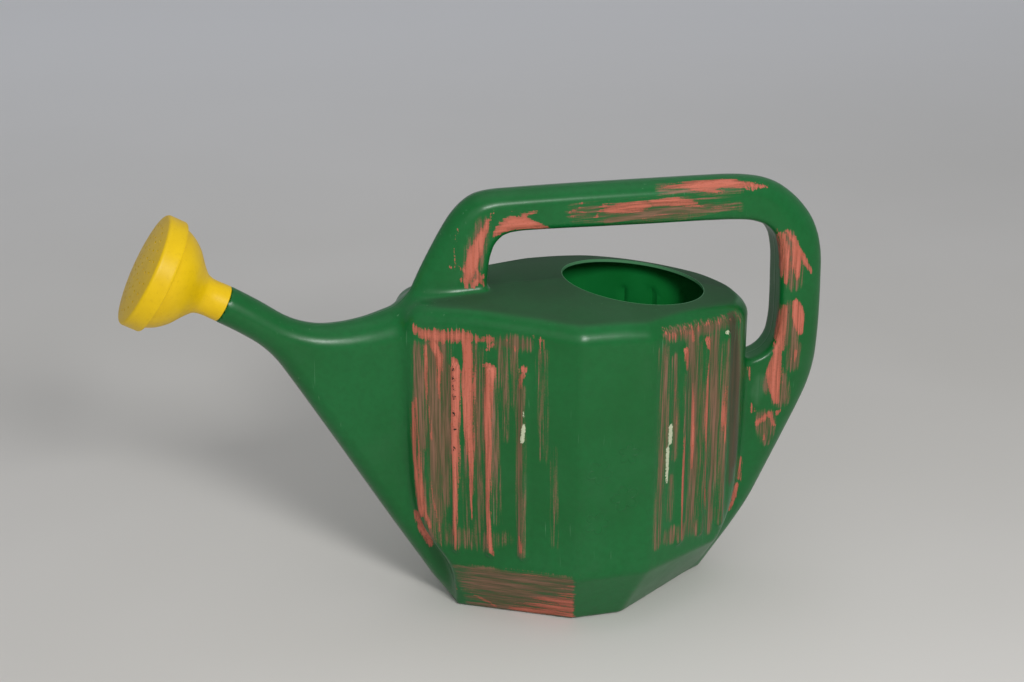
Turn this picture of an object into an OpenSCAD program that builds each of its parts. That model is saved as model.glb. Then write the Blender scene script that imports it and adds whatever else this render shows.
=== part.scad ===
// Blow-moulded garden watering can with a pull-off sprinkler rose.
// Millimetres. +Z is up, the spout points to -X, the handle is at +X, and the
// can is symmetric about the XZ plane. The foot stands on Z = 0.
// The tank, the spout and the looped handle are one hollow moulding.
// The rose is two turned pieces: a bell with a neck, and a perforated cap.

/* [Tank] */
// Half width of the tank across its flat middle panels
tank_half_w = 77.5; // [66:0.5:80]
// Height of the deck along the middle of the tank
deck_h = 229; // [222:1:240]
// Height of the tapered band around the foot
foot_band_h = 43; // [30:1:52]
// Radius of the rounded edge between the deck and the walls
deck_edge_r = 11; // [6:0.5:14]
// Wall thickness of the moulding
wall = 2; // [1.6:0.1:2.6]
// Height of the hollow under the foot, inside the standing land
foot_recess = 2.5; // [1:0.5:4]

/* [Fill opening] */
// Radius of the fill opening in the deck
fill_r = 48; // [36:1:50]
// Distance of the fill opening's centre from the origin along X
fill_x = 101.4; // [92:0.2:104]

/* [Ribs] */
// How far the upright ribs stand out of the corner panels
rib_out = 2.2; // [1:0.2:3]
// Radius of a rib's round section
rib_r = 4; // [3:0.5:5]

/* [Handle] */
// Half width of the hollow handle
handle_half_w = 13; // [11:0.5:15]
// Height of the handle's top above the ground
handle_top = 294; // [288:1:300]

/* [Spout] */
// Tilt of the spout's end above the horizontal
spout_tilt = 30; // [26:1:34]
// Outer radius of the spout where the rose's neck meets it
spout_r = 12.2; // [11.6:0.1:13]
// Radius of the turned-down end that the rose pushes on to
spigot_r = 10.3; // [9.6:0.1:10.6]
// Length of that end
spigot_l = 20; // [14:1:24]
// Radius of the bore through the end of the spout
spout_bore_r = 8.3; // [6:0.1:8.5]

/* [Rose] */
// Radial clearance between the spout's end and the neck of the rose
neck_gap = 0.05; // [0.02:0.01:0.1]
// Radius of the cap of the rose
cap_r = 37.5; // [36.8:0.1:39]
// Radial clearance between the cap and the bell
cap_gap = 0.05; // [0.02:0.01:0.1]
// Height of the dome on the cap's face
dome_h = 3; // [1:0.5:5]
// Radius of one spray hole
spray_r = 0.9; // [0.6:0.1:1.2]
// Number of rings of spray holes around the middle hole
spray_rings = 4; // [2:1:4]

/* [Hidden] */
$fn = 96;

// ---------- small helpers ----------
function mix(a, b, t) = a + (b - a) * t;
function unit(v) = v / norm(v);
function turn_right(v) = [v[1], -v[0]];
// both halves of an outline given as its +Y half, front to rear
function both_sides(h) = concat(h, [for (i = [len(h) - 1 : -1 : 0]) [h[i][0], -h[i][1]]]);

// ---------- tank ----------
// Half outlines, front to rear: front corner, two corners of the middle
// panel, rear corner, back panel. Each row is the outline at one height.
w = tank_half_w;
rows = [
    [0,           [[-27, 16.5], [50, w - 22.5], [81, w - 22.5], [140, 15], [153, 5]]],
    [foot_band_h, [[-42, 29],   [43, w - 0.5],  [91, w - 0.5],  [153, 43], [170, 16]]],
    [80,          [[-56, 24],   [43, w],        [91, w],        [167, 40], [179, 16]]],
    [130,         [[-58, 22.5], [43, w],        [91, w],        [168, 39], [181, 15]]],
    [195,         [[-58, 22.5], [43, w],        [91, w],        [168, 38], [181, 15]]]
];
function outline_at(z) =
    let (n = len(rows),
         k = z >= rows[n - 1][0] ? n - 2 : max([for (i = [0 : n - 2]) z >= rows[i][0] ? i : 0]),
         t = min(1, max(0, (z - rows[k][0]) / (rows[k + 1][0] - rows[k][0]))))
    [for (i = [0 : len(rows[0][1]) - 1]) mix(rows[k][1][i], rows[k + 1][1][i], t)];

// a closed outline moved inwards by d
function inset(p, d) =
    let (n = len(p))
    [for (i = [0 : n - 1])
        let (a = turn_right(unit(p[i] - p[(i + n - 1) % n])),
             b = turn_right(unit(p[(i + 1) % n] - p[i])))
        p[i] + d * (a + b) / (1 + a * b)];
// each corner of a closed outline turned into an arc of radius r, in m steps
function rounded(p, r, m = 3) =
    let (n = len(p))
    [for (i = [0 : n - 1])
        let (a = turn_right(unit(p[i] - p[(i + n - 1) % n])),
             b = turn_right(unit(p[(i + 1) % n] - p[i])),
             c = p[i] + r * (a + b) / (1 + a * b))
        for (k = [0 : m]) c - r * unit(mix(a, b, k / m))];

// deck: level in front, falling to the rear, and crowned across
function deck_z(x, y) = deck_h - 0.00133 * pow(max(0, x - 55), 2)
    - 0.0016 * pow(max(0, -5 - x), 2) - 0.0016 * y * y;

function ring(z, d, r) = [for (q = rounded(inset(both_sides(outline_at(z)), d), r)) [q[0], q[1], z]];
function deck_ring(d, r, drop) =
    [for (q = rounded(inset(both_sides(outline_at(200)), d), r)) [q[0], q[1], deck_z(q[0], q[1]) - drop]];
function shrunk_ring(pts, s, drop) =
    [for (q = pts) let (x = mix(85, q[0], s), y = q[1] * s) [x, y, deck_z(x, y) - drop]];

// t is how far inside the outer surface the skin lies
function tank_rings(t) =
    let (e = deck_edge_r,
         corner = 5 - min(t, 2) / 2,
         top = deck_ring(t + e, 9, t))
    concat(
        t == 0
        ? [[for (q = ring(0, 14, 2)) [q[0], q[1], foot_recess]], ring(-1, 9.8, 2), ring(-1, 2.5, 3)]
        : [[for (q = ring(0, 9, 2)) [q[0], q[1], foot_recess + t]]],
        [for (z = t == 0 ? [1.5, 22, foot_band_h, foot_band_h + 4, 62, 80, 110, 150, 195]
                         : [foot_recess + t + 2.5, 22, foot_band_h, foot_band_h + 4, 62, 80, 110, 150, 195])
            ring(z, t, corner + max(0, (z - 110) / 22))],
        [for (a = [10 : 20 : 70]) deck_ring(t + e * (1 - cos(a)), 9, t + e * (1 - sin(a)))],
        [top],
        [for (s = [0.8, 0.5]) shrunk_ring(top, s, t)]);
function deck_middle(t) = [85, 0, deck_z(85, 0) - t];

// solid between rings of equal count, each end closed by a fan to its middle
function middle(r) = [for (c = [0 : 2]) let (v = [for (p = r) p[c]]) (min(v) + max(v)) / 2];
module loft(rings, last = undef) {
    n = len(rings[0]);
    m = len(rings);
    polyhedron(
        points = concat([for (r = rings) each r],
            [middle(rings[0]), is_undef(last) ? middle(rings[m - 1]) : last]),
        faces = concat(
            [for (i = [0 : n - 1]) [m * n, (i + 1) % n, i]],
            [for (i = [0 : n - 1]) [m * n + 1, (m - 1) * n + i, (m - 1) * n + (i + 1) % n]],
            [for (j = [0 : m - 2], i = [0 : n - 1])
                let (a = j * n + i, b = j * n + (i + 1) % n)
                each [[a, b, b + n], [a, b + n, a + n]]]),
        convexity = 8);
}

// ---------- spout and fin ----------
e_out = [-cos(spout_tilt), sin(spout_tilt)];
e_up = [sin(spout_tilt), cos(spout_tilt)];
spout_end = [-172.8, 231.1];
// each row: top circle's x, z and radius, then the bottom circle's, in the
// middle plane; the section is the skin around the two circles
sections = [
    concat(spout_end + 0 * e_out, [spout_r], spout_end - 0.01 * e_up, [spout_r]),
    [-155.5, 221.1, 12.7, -155.6, 220.9, 12.6],
    [-136.2, 205.6, 13.4, -136.6, 204.9, 13.0],
    [-121.6, 199.4, 14.2, -127.4, 188.6, 12.0],
    [-103.5, 196.0, 15.8, -114.2, 163.2, 12.0],
    [-82.0,  197.2, 18.0, -92.2,  123.6, 12.5],
    [-61.0,  200.0, 20.5, -69.0,  81.0,  13.0],
    [-40.0,  200.0, 22.0, -45.0,  36.5,  13.5],
    [-10.0,  200.0, 22.0, -18.0,  17.0,  14.0]
];
// t pulls the skin inwards
function section_ring(s, t, m = 10) =
    let (ct = [s[0], s[1]], cb = [s[3], s[4]], up = unit(ct - cb), fw = turn_right(up),
         rt = s[2] - t, rb = s[5] - t)
    concat(
        [for (k = [0 : m - 1]) let (a = 180 * (k + 0.5) / m, p = ct + rt * sin(a) * up) [p[0], -rt * cos(a), p[1]]],
        [for (k = [0 : m - 1]) let (a = 180 + 180 * (k + 0.5) / m, p = cb + rb * sin(a) * up) [p[0], -rb * cos(a), p[1]]]);
function spout_rings(t) = [for (i = [0 : len(sections) - 1])
    let (s = sections[i])
    t > 0 && i == 0
    ? section_ring(concat(spout_end - 4 * e_out, [spout_bore_r + t], spout_end - 4 * e_out - 0.01 * e_up, [spout_bore_r + t]), t)
    : section_ring(s, t)];

// ---------- handle ----------
hz = handle_top;
// each row: a point on the outer line and one on the inner line, in the
// middle plane, from the front strut round to the web behind the tank
handle_pairs = [
    [[-64, 203],     [2, 200]],
    [[-56.6, 221],   [-3, 220.6]],
    [[-45, 244],     [-1.5, 242]],
    [[-36, 262],     [0, 254]],
    [[-27, 276],     [3, 261.5]],
    [[-15, 287.5],   [8, 265.5]],
    [[0, 293],       [15, 267.2]],
    [[20, hz],       [27, 267.3]],
    [[60, hz],       [62, 266.6]],
    [[111, hz - 1],  [111, 265.4]],
    [[152, hz - 1],  [150, 264.6]],
    [[173, hz - 2],  [170, 263.6]],
    [[193, hz - 5],  [184, 261.5]],
    [[211, hz - 15], [194, 256.5]],
    [[225, 264.5],   [201, 248]],
    [[234, 247],     [204, 236]],
    [[238, 226],     [205, 221]],
    [[239, 197],     [205.5, 199]],
    [[238.6, 170],   [205, 182]],
    [[236, 147],     [202, 171]],
    [[229, 126],     [193, 163.5]],
    [[218, 103],     [172, 160]],
    [[204, 73],      [150, 120]],
    [[187, 40.5],    [137, 66]],
    [[171.5, 20.5],  [126, 36]],
    [[155.5, 3],     [118, 14]]
];
function handle_ring(q, t) =
    let (o = q[0], i = q[1], d = unit(o - i), h = norm(o - i) - 2 * t, b = i + t * d,
         v = handle_half_w - t, k = 1 - t / 10,
         half = [[0, v - 5 * k], [1.4 * k, v - 1.6 * k], [5 * k, v], [h - 9 * k, v], [h - 7 * k, v - 0.6 * k],
                 [h - 4.6 * k, v - 3.4 * k], [h - 1.4 * k, v - 8.6 * k], [h, 0]])
    [for (c = concat(half, [for (n = [len(half) - 2 : -1 : 0]) [half[n][0], -half[n][1]]]))
        let (p = b + c[0] * d) [p[0], -c[1], p[1]]];
function handle_rings(t) = [for (q = handle_pairs) handle_ring(q, t)];

// ---------- ribs ----------
// three upright ribs on each corner panel, standing along its face
module ribs(r, out) {
    front = [-57, 22.5]; front_end = [43, w];
    rear = [91, w]; rear_end = [168, 38.5];
    fd = unit(front - front_end); rd = unit(rear_end - rear);
    for (side = [-1, 1]) {
        for (s = [38, 61, 84])
            rib(front_end + s * fd, [fd[1], -fd[0]], side, r, out, 56.4, 187.3);
        for (s = [29, 50, 71])
            rib(rear + s * rd, [-rd[1], rd[0]], side, r, out, 56.9, 192.6);
    }
}
module rib(p, nrm, side, r, out, z0, z1) {
    c = p + (out - r) * nrm * (nrm[1] > 0 ? 1 : -1);
    translate([c[0], side * c[1], 0])
        rotate([0, 0, side * atan2(nrm[1], nrm[0])])
        rotate_extrude($fn = 10)
        polygon([[0, z0 - r], [0.72 * r, z0 - 0.7 * r], [r, z0], [r, z1], [0.72 * r, z1 + 0.7 * r], [0, z1 + r]]);
}

// ---------- the hollow moulding ----------
outer_x = [for (r = concat(spout_rings(0), handle_rings(0))) for (q = r) q[0]];
moulding_l = max(outer_x) - min(outer_x);

module moulding() {
    // the whole skin keeps its exact overall length
    resize([moulding_l, 0, 0])
    difference() {
        union() {
            loft(tank_rings(0), deck_middle(0));
            loft(spout_rings(0));
            loft(handle_rings(0));
            ribs(rib_r, rib_out);
        }
        loft(tank_rings(wall), deck_middle(wall));
        loft(spout_rings(wall));
        loft(handle_rings(wall));
        ribs(rib_r - wall / 2, rib_out - wall / 2);
        // the blank openings that the fill opening and the spout's bore are cut through
        translate([fill_x, 0, deck_h - 34]) cylinder(r = fill_r - 1.5, h = 50, $fn = 40);
        on_spout() translate([0, 0, -8]) cylinder(r = spout_bore_r - 0.8, h = 20, $fn = 20);
    }
}

// places its children with +Z along the spout's outer axis, Z = 0 at its shoulder
module on_spout() {
    translate([spout_end[0], 0, spout_end[1]]) rotate([0, spout_tilt - 90, 0]) children();
}

module can() {
    color("forestgreen")
    difference() {
        union() {
            moulding();
            on_spout() translate([0, 0, -3]) cylinder(r = spigot_r, h = spigot_l + 3);
        }
        on_spout() translate([0, 0, -8]) cylinder(r = spout_bore_r, h = spigot_l + 12);
        translate([fill_x, 0, deck_h - 34]) cylinder(r = fill_r, h = 50);
        // levels the land that the can stands on
        translate([-60, -100, -12]) cube([260, 200, 12]);
    }
}

// ---------- rose ----------
neck_r = spigot_r + neck_gap;
bell_rim_r = cap_r - 2;

// profile of the bell: radius against distance from the spout's shoulder
module rose_shell() {
    color("gold")
    on_spout()
    rotate_extrude()
    polygon([
        [neck_r, 0.1], [12.1, 0.1], [11.9, 9], [12.2, 13], [13.4, 16.5], [15.6, 19], [18.4, 21.6],
        [21.8, 24.4], [25.6, 27.6], [28.6, 31], [31, 34.4], [32.8, 38], [33.8, 41], [34.2, 42.2],
        [bell_rim_r, 42.2], [bell_rim_r, 52.5], [33.6, 52.5], [33.6, 43.4], [32, 40.6], [30.4, 36.8],
        [28.2, 33.2], [25.2, 30], [21.4, 27], [17.6, 24.2], [14.4, 21.8], [11.6, 20.4], [neck_r, 20.4]
    ]);
}

// the cap: a skirt over the bell's rim and a slightly domed, perforated face
cap_back = 42.6;
cap_front = 55.6;
face_t = 1.8;
module rose_cap() {
    inner = bell_rim_r + cap_gap;
    color("gold")
    on_spout()
    difference() {
        rotate_extrude()
        polygon(concat(
            [[inner, cap_back], [cap_r - 0.6, cap_back], [cap_r, cap_back + 0.6], [cap_r, cap_front - 2.2],
             [cap_r - 0.7, cap_front - 0.7], [cap_r - 2.2, cap_front]],
            [for (k = [1 : 6]) let (r = (cap_r - 2.2) * (1 - k / 6)) [r, cap_front + dome_h * (1 - pow(r / (cap_r - 2.2), 2))]],
            [for (k = [6 : -1 : 1]) let (r = (cap_r - 2.2) * (1 - k / 6)) [r, cap_front + dome_h * (1 - pow(r / (cap_r - 2.2), 2)) - face_t]],
            [[inner, cap_front - face_t]]));
        for (k = [0 : spray_rings], i = [0 : max(1, 6 * k) - 1])
            rotate([0, 0, 360 * i / max(1, 6 * k) + 7 * k])
            translate([k * 7.2, 0, cap_front - 6]) cylinder(r = spray_r, h = 14, $fn = 16);
    }
}

can();
rose_shell();
rose_cap();
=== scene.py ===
import math
import time
import bpy
import bmesh
import numpy as np
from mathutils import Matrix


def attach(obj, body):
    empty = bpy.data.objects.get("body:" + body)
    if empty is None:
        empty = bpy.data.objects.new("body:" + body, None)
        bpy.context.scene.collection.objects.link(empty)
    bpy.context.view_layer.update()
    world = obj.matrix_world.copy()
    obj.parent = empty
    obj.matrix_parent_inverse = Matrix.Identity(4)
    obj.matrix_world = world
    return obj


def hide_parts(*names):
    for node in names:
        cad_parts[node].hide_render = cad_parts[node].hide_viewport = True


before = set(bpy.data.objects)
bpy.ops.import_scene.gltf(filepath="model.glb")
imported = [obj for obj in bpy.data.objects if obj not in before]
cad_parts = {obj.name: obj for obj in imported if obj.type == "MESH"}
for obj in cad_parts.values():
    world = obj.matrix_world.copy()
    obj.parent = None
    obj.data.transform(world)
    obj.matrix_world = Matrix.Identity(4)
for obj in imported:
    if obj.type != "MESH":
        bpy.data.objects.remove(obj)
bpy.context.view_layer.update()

import openvdb

T0 = time.time()


def note(*a):
    print("[scene %5.1f s]" % (time.time() - T0), *a, flush=True)


# --------------------------------------------------------------------------
# small field helpers; all fields are in millimetres, negative inside
# --------------------------------------------------------------------------
def rmax(a, b, r):
    """Intersection with an edge rounded at radius r."""
    return np.minimum(np.maximum(a, b), -r) + np.hypot(np.maximum(a + r, 0), np.maximum(b + r, 0))


def smax(a, b, k):
    h = np.clip(0.5 + 0.5 * (a - b) / k, 0, 1)
    return b + (a - b) * h + k * h * (1 - h)


def smin(a, b, k):
    return -smax(-a, -b, k)


def step(a, b, x):
    t = np.clip((x - a) / (b - a), 0, 1)
    return t * t * (3 - 2 * t)


def spline(pts, n=6, closed=False):
    """Centripetal Catmull-Rom curve through the points."""
    p = [np.array(q, float) for q in pts]
    m = len(p)
    out = []
    for i in range(m if closed else m - 1):
        p1, p2 = p[i], p[(i + 1) % m]
        p0 = p[(i - 1) % m] if closed or i > 0 else 2 * p1 - p2
        p3 = p[(i + 2) % m] if closed or i + 2 < m else 2 * p2 - p1
        d1, d2, d3 = (max(np.linalg.norm(b - a), 1e-6) ** 0.5 for a, b in ((p0, p1), (p1, p2), (p2, p3)))
        t0, t1 = 0.0, d1
        t2, t3 = t1 + d2, t1 + d2 + d3
        for k in range(n):
            t = t1 + (t2 - t1) * k / n
            a1 = (t1 - t) / (t1 - t0) * p0 + (t - t0) / (t1 - t0) * p1
            a2 = (t2 - t) / (t2 - t1) * p1 + (t - t1) / (t2 - t1) * p2
            a3 = (t3 - t) / (t3 - t2) * p2 + (t - t2) / (t3 - t2) * p3
            b1 = (t2 - t) / (t2 - t0) * a1 + (t - t0) / (t2 - t0) * a2
            b2 = (t3 - t) / (t3 - t1) * a2 + (t - t1) / (t3 - t1) * a3
            out.append((t2 - t) / (t2 - t1) * b1 + (t - t1) / (t2 - t1) * b2)
    if not closed:
        out.append(p[-1])
    return np.array(out)


def poly_dist(x, z, line, closed=False, value=None):
    """Distance from (x, z) to a polyline, and the value carried at the nearest point."""
    shape = x.shape
    px, pz = x.ravel(), z.ravel()
    a = line if closed else line[:-1]
    b = np.roll(line, -1, axis=0) if closed else line[1:]
    best = np.full(px.shape, 1e18)
    val = np.zeros(px.shape)
    for i in range(len(a)):
        ax, az = a[i]
        dx, dz = b[i] - a[i]
        l2 = dx * dx + dz * dz + 1e-12
        t = np.clip(((px - ax) * dx + (pz - az) * dz) / l2, 0, 1)
        d = (px - ax - t * dx) ** 2 + (pz - az - t * dz) ** 2
        m = d < best
        best = np.where(m, d, best)
        if value is not None:
            v = value[i] * (1 - t) + value[(i + 1) % len(value)] * t
            val = np.where(m, v, val)
    return np.sqrt(best).reshape(shape), val.reshape(shape)


def inside_poly(x, z, poly):
    shape = x.shape
    px, pz = x.ravel(), z.ravel()
    c = np.zeros(px.shape, bool)
    n = len(poly)
    for i in range(n):
        x1, z1 = poly[i]
        x2, z2 = poly[(i + 1) % n]
        if z1 == z2:
            continue
        m = ((z1 > pz) != (z2 > pz)) & (px < (x2 - x1) * (pz - z1) / (z2 - z1) + x1)
        c ^= m
    return c.reshape(shape)


def signed(x, z, poly, value=None):
    d, v = poly_dist(x, z, poly, True, value)
    return np.where(inside_poly(x, z, poly), -d, d), v


# --------------------------------------------------------------------------
# the can: outlines in the middle plane, millimetres
# --------------------------------------------------------------------------
W = 77.5
SPOUT_END = np.array([-172.8, 231.1])
TILT = math.radians(30)
E_OUT = np.array([-math.cos(TILT), math.sin(TILT)])
E_UP = np.array([math.sin(TILT), math.cos(TILT)])

spout_top = spline([tuple(SPOUT_END + 12.2 * E_UP + 9 * E_OUT), tuple(SPOUT_END + 12.2 * E_UP), (-150, 230.8),
                    (-131, 217.6), (-115, 212.0), (-99, 211.2), (-82, 213.6), (-66, 218.2), (-55, 221.5),
                    (-38, 224), (-15, 224)], 5)
spout_bot = spline([tuple(SPOUT_END - 12.2 * E_UP + 9 * E_OUT), tuple(SPOUT_END - 12.2 * E_UP), (-163, 210.4),
                    (-151, 201.2), (-141.5, 190.5), (-133, 177), (-118, 151.5), (-102, 124), (-82.5, 90),
                    (-63, 56.5), (-49, 33), (-37, 13.5), (-27, 3.5), (-14, 0.8)], 5)
spout_poly = np.vstack([spout_top, spout_bot[::-1]])
TOP_R = ([-185, -172, -150, -136, -121, -103, -82, -61, -40], [12.2, 12.2, 12.7, 13.2, 13.8, 14.8, 16.6, 19.5, 22])

handle_out_pts = [(-70, 192), (-62, 208), (-54, 225), (-45, 244), (-37.5, 258), (-30.5, 270), (-24, 279.5), (-17, 286.5),
                  (-9, 291.3), (1, 293.4), (20, 293.9), (60, 293.9), (111, 293.4), (150, 292.9), (170, 292.3), (182, 291),
                  (193, 288.6), (203, 284.3), (212, 278), (221, 269.3), (229, 258.5), (234.5, 246), (237.5, 232),
                  (238.5, 215), (239, 195), (238.8, 172), (237.2, 152), (233, 135.5), (226.5, 120), (217, 100),
                  (205, 75), (192, 49), (180, 31), (168, 15.5), (155, 1.0)]
handle_c = [32, 32, 32, 28, 23, 19, 16, 13, 11, 10, 9.5, 9.5, 9.5, 9.5, 9.7, 10, 11, 13, 16, 20, 24, 27, 28.5, 29, 29,
            29, 28, 26, 24, 22, 21, 20, 18, 15, 12]
_out = spline([(a, b) for a, b in handle_out_pts], 5)
_c = spline([(c, 0) for c in handle_c], 5)[:, 0]
_close = np.array([(120, 1.0), (110, 120), (40, 190)])
handle_poly = np.vstack([_out, _close])
handle_cv = np.concatenate([_c, [15, 25, 30]])
gap_poly = np.vstack([spline([(-4.5, 205), (-2.8, 228), (-1.5, 242), (0.2, 252), (3.6, 260.2), (9.5, 265.4), (18, 267.1),
                              (34, 267.2), (62, 266.5), (111, 265.2), (150, 264.4), (170, 263.5), (183, 261.7),
                              (193.5, 257), (200.6, 248.6), (203.8, 236), (204.8, 220), (205.4, 200), (205, 184),
                              (202.5, 173), (196.5, 165.6), (187, 161.6), (172, 160.2), (158, 160)], 5),
                      np.array([(140, 160), (100, 190), (40, 200)])])

FRONT_X = ([-10, 0, 30, 43, 52, 65, 80, 105, 130, 300], [-25.5, -26.5, -31, -35, -41.5, -49.5, -54.6, -57, -57.6, -57.6])
UP_D5 = ([0, 43, 52, 62, 80, 105, 130, 300], [150, 157, 160.4, 163, 165.4, 166.3, 166.6, 166.6])
UP_BACK = ([0, 43, 60, 80, 105, 130, 300], [164, 170, 175, 178.6, 180.3, 181, 181])


def smooth_table(t, w):
    z = np.arange(-20, 320, 1.0)
    v = np.interp(z, t[0], t[1])
    k = np.exp(-0.5 * (np.arange(-3 * w, 3 * w + 1) / w) ** 2)
    p = np.pad(v, 3 * w, mode="edge")
    return z, np.convolve(p, k / k.sum(), mode="valid")


FRONT_T = smooth_table(FRONT_X, 4)
D5_T = smooth_table(UP_D5, 4)
BACK_T = smooth_table(UP_BACK, 5)

LEFT_N, LEFT_D = (-0.4781, 0.8783), 47.5
RIGHT_N, RIGHT_D = (0.4566, 0.8897), 110.5
N5 = (0.887, 0.461)


def deck_z(x, y):
    return (229 - 0.00133 * np.maximum(0, x - 55) ** 2 - 0.0016 * np.maximum(0, -5 - x) ** 2 - 0.0016 * y * y)


def ribs_list():
    out = []
    for s in (38, 61, 84):
        p = np.array([43, W]) + s * np.array([-0.8783, -0.4781])
        out.append((p[0], p[1], LEFT_N, 56, 187))
    for s in (29, 50, 71):
        p = np.array([91, W]) + s * np.array([0.8897, -0.4566])
        out.append((p[0], p[1], RIGHT_N, 56, 194))
    return out


RIBS = ribs_list()


def plane_fields(x, z):
    """Fields that don't depend on y: the side outlines of spout and handle."""
    ds, _ = signed(x, z, spout_poly)
    dt, _ = poly_dist(x, z, spout_top)
    db, _ = poly_dist(x, z, spout_bot)
    t = dt / (dt + db + 1e-6)
    rt = np.interp(x, *TOP_R)
    t = t * t * (3 - 2 * t)
    rs = rt * (1 - t) + 12.4 * t
    do, c = signed(x, z, handle_poly, handle_cv)
    dg, _ = signed(x, z, gap_poly)
    return {"ds": ds, "rs": rs, "do": do, "c": c, "dg": -dg}


def walls(x, y, z):
    """The tank's upright walls, with no top or bottom."""
    ya = np.sqrt(y * y + 0.01)
    # upper walls
    u = np.interp(z, *FRONT_T) - x
    u = smax(u, LEFT_N[0] * x + LEFT_N[1] * ya - LEFT_D, 4.5)
    u = smax(u, ya - W, 1.7)
    u = smax(u, RIGHT_N[0] * x + RIGHT_N[1] * ya - RIGHT_D, 1.7)
    u = smax(u, N5[0] * x + N5[1] * ya - np.interp(z, *D5_T), 3.5)
    u = smax(u, x - np.interp(z, *BACK_T), 3.0)
    # walls of the band round the foot
    h = z / 43.0
    lo = (LEFT_N[0] * x + LEFT_N[1] * ya - (26.5 + 21.0 * h)) * 0.899
    lo = smax(lo, (ya - (55 + 22.5 * h)) * 0.886, 1.4)
    rx, ry = 0.564 + (RIGHT_N[0] - 0.564) * h, 0.826 + (RIGHT_N[1] - 0.826) * h
    rn = np.sqrt(rx * rx + ry * ry)
    lo = smax(lo, ((rx * x + ry * ya) / rn - (90.5 + 20.0 * h)) * 0.9, 1.4)
    lo = smax(lo, (N5[0] * x + N5[1] * ya - (138.5 + 18.5 * h)) * 0.91, 4)
    s = smax(u, lo, 1.5)
    # walls swell a little between their edges, as blown panels do
    return s - 0.9 * step(60, 120, z) * step(215, 150, z) * step(42, 8, x) * step(-60, -25, x)


def tank(x, y, z):
    top = z - deck_z(x, np.abs(y))
    f = rmax(walls(x, y, z), top, 10.5)
    f = rmax(f, -z, 2.2)
    return f


def spout(x, y, z, F):
    r = F["rs"]
    return np.hypot(np.maximum(F["ds"] + r, 0), y) - r


def handle(x, y, z, F):
    c = F["c"]
    hw = 13.0
    e = np.sqrt((np.maximum(F["do"] + c, 0) / c) ** 2 + (y / hw) ** 2)
    e = np.maximum(e, 1e-3)
    # scaled so that it is close to a distance on either axis
    g = np.sqrt((np.maximum(F["do"] + c, 0) / (c * c)) ** 2 + (y / (hw * hw)) ** 2) / e
    a = (e - 1) / np.maximum(g, 1e-3)
    a = np.maximum(a, F["do"])
    return rmax(a, F["dg"], 4.5)


def can_field(x, y, z, F, ribs=True):
    f = tank(x, y, z)
    sp = spout(x, y, z, F)
    f = smin(f, sp, 9.0)
    f = smin(f, handle(x, y, z, F), 6.0)
    f = np.maximum(f, -z)
    if ribs:
        ya = np.abs(y)
        for px, py, n, z0, z1 in RIBS:
            cx, cy = px + (2.2 - 4.0) * n[0], py + (2.2 - 4.0) * n[1]
            zc = np.clip(z, z0, z1)
            d = np.sqrt((x - cx) ** 2 + (ya - cy) ** 2 + (z - zc) ** 2) - 4.0
            f = smin(f, d, 1.2)
    # shallow hollow under the foot
    rec = np.maximum(walls(x, y, np.zeros_like(x + z)) + 11.0, z - 2.5)
    f = rmax(f, -rec, 1.5)
    # the flat cut at the spout's shoulder
    cut = (x - SPOUT_END[0]) * E_OUT[0] + (z - SPOUT_END[1]) * E_OUT[1]
    f = rmax(f, cut + 0 * f, 0.8)
    return f


def field_grid(xs, ys, zs, **k):
    X, Z = np.meshgrid(xs, zs, indexing="ij")
    F = {n: v[:, None, :] for n, v in plane_fields(X, Z).items()}
    out = np.empty((len(xs), len(ys), len(zs)), np.float32)
    x = X[:, None, :]
    z = Z[:, None, :]
    for j, y in enumerate(ys):
        out[:, j, :] = can_field(x, np.full_like(x, y), z, F, **k)[:, 0, :]
    return out


def field_at(p, **k):
    x, y, z = p.T
    return can_field(x, y, z, plane_fields(x, z), **k)


def extract(h, iso, project=3):
    lo = np.array([-184.0, 0.0, -3.0 * h])
    xs = np.arange(lo[0], 243 + h, h)
    ys = np.arange(0, 84 + h, h)
    zs = np.arange(lo[2], 298 + h, h)
    half = field_grid(xs, ys, zs)
    full = np.concatenate([half[:, :0:-1, :], half], axis=1)
    g = openvdb.FloatGrid(6.0 * h)
    g.copyFromArray(np.clip(full, -6 * h, 6 * h).astype(np.float32))
    pts, tri, quad = g.convertToPolygons(isovalue=iso, adaptivity=0.0)
    pts = np.array(pts, float) * h
    pts[:, 0] += xs[0]
    pts[:, 1] -= (len(ys) - 1) * h
    pts[:, 2] += zs[0]
    for _ in range(project):
        v = field_at(pts) - iso
        e = 0.35
        g3 = np.empty_like(pts)
        for a in range(3):
            d = np.zeros(3)
            d[a] = e
            g3[:, a] = (field_at(pts + d) - field_at(pts - d)) / (2 * e)
        n2 = np.maximum((g3 ** 2).sum(1), 0.15)
        mv = -(v / n2)[:, None] * g3
        l = np.linalg.norm(mv, axis=1, keepdims=True)
        mv *= np.minimum(1, 0.6 * h / np.maximum(l, 1e-9))
        pts = pts + mv
    return pts, tri, quad


def mesh_from(name, pts, quads, tris=(), flip=False):
    faces = [tuple(q) for q in quads] + [tuple(t) for t in tris]
    if flip:
        faces = [f[::-1] for f in faces]
    me = bpy.data.meshes.new(name)
    me.from_pydata((np.asarray(pts) * 0.001).tolist(), [], faces)
    me.validate()
    return me


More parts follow.
